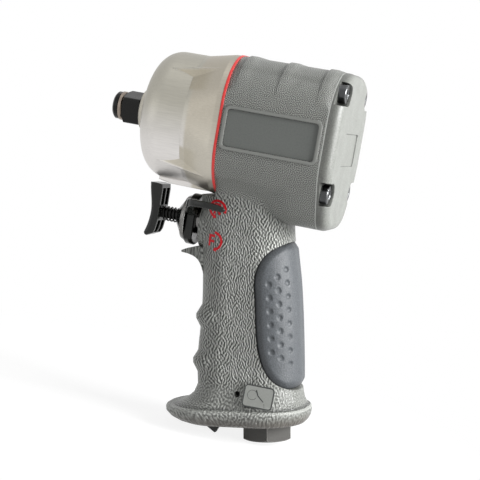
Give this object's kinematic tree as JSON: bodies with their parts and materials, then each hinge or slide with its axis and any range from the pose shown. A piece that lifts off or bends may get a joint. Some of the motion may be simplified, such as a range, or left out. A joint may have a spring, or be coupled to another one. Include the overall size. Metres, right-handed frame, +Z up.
{
  "type": "air impact wrench",
  "caption": "Compact pistol-grip air impact wrench: square drive, bare metal hammer case, grained grey housing, rubber grip insert, trigger, reverse lever and hex air inlet",
  "frame": {"origin": "seat of the square drive, on the spindle axis", "axes": "+X along the spindle from the drive to the rear cover, +Z up, away from the handle, +Y to the side away from the reverse lever's arm"},
  "size_m": [0.1198, 0.066, 0.1776],
  "materials": {
    "case_aluminium": "brushed, turned",
    "gasket_red": "smooth moulded ring",
    "housing_composite": "fine grain on the barrel, wrinkled on the handle",
    "cover_paint": "satin grey paint",
    "grip_rubber": "matt, dimpled",
    "black_nylon": "satin moulded",
    "black_oxide_steel": "black oxide, lightly oiled",
    "ground_steel": "machined",
    "spring_steel": "drawn wire",
    "bright_chrome": "polished plate",
    "bronze": "machined",
    "vane_resin": "ground fibre resin",
    "seal_rubber": "smooth"
  },
  "bodies": {
    "housing": {"motor_housing": "housing_composite", "hammer_case": "case_aluminium", "anvil_bushing": "bronze", "front_gasket": "gasket_red", "front_plate": "ground_steel", "front_bearing": "ground_steel", "motor_cylinder": "ground_steel", "rear_plate": "ground_steel", "rear_bearing": "ground_steel", "rubber_grip": "grip_rubber", "rear_gasket": "seal_rubber", "rear_cover": "cover_paint", "cover_screws": "black_oxide_steel", "valve_sleeve": "bronze", "valve_seat": "seal_rubber", "inlet_bushing": "black_oxide_steel", "inlet_screen": "bronze", "exhaust_deflector": "black_nylon", "trigger_spring": "spring_steel", "valve_spring": "spring_steel"},
    "rotor_set": {"rotor": "ground_steel", "rotor_vanes": "vane_resin", "hammer_cage": "ground_steel", "hammer_pins": "ground_steel"},
    "anvil_set": {"anvil": "black_oxide_steel", "socket_ring": "spring_steel", "ring_cushion": "seal_rubber"},
    "front_hammer": {"hammer_front": "ground_steel"},
    "rear_hammer": {"hammer_rear": "ground_steel"},
    "trigger_set": {"trigger": "black_nylon", "trigger_rod": "ground_steel"},
    "throttle": {"throttle_valve": "bronze"},
    "reverse_set": {"reverse_lever": "black_nylon", "reverse_valve": "bright_chrome", "valve_nose": "black_nylon"}
  },
  "joints": [
    {"name": "rotor_spin", "type": "hinge", "parent": "housing", "child": "rotor_set", "pos_m": [0.07, 0, 0], "axis": [1, 0, 0], "continuous": true},
    {"name": "anvil_spin", "type": "hinge", "parent": "housing", "child": "anvil_set", "pos_m": [0.01, 0, 0], "axis": [1, 0, 0], "continuous": true},
    {"name": "front_hammer_rock", "type": "hinge", "parent": "rotor_set", "child": "front_hammer", "pos_m": [0.03, 0.0194, 0], "axis": [1, 0, 0], "range_deg": [-2.5, 2.5]},
    {"name": "rear_hammer_rock", "type": "hinge", "parent": "rotor_set", "child": "rear_hammer", "pos_m": [0.04, -0.0194, 0], "axis": [1, 0, 0], "range_deg": [-2.5, 2.5]},
    {"name": "trigger_slide", "type": "slide", "parent": "housing", "child": "trigger_set", "axis": [1, 0, 0], "range_m": [0, 0.005], "stiffness_N_per_m": 600, "springref_m": -0.006, "deforming": ["trigger_spring"]},
    {"name": "throttle_tip", "type": "hinge", "parent": "housing", "child": "throttle", "pos_m": [0.06887, 0, -0.07557], "axis": [0, 1, 0], "range_deg": [0, 9.95], "deforming": ["valve_spring"]},
    {"name": "reverse_turn", "type": "hinge", "parent": "housing", "child": "reverse_set", "pos_m": [0.035, 0, -0.0469], "axis": [1, 0, 0], "range_deg": [0, 40]}
  ],
  "couplings": [
    {"joint": "anvil_spin", "follows": "rotor_spin", "ratio": 1},
    {"joint": "throttle_tip", "follows": "trigger_slide", "rad_per_m": 34.65}
  ]
}
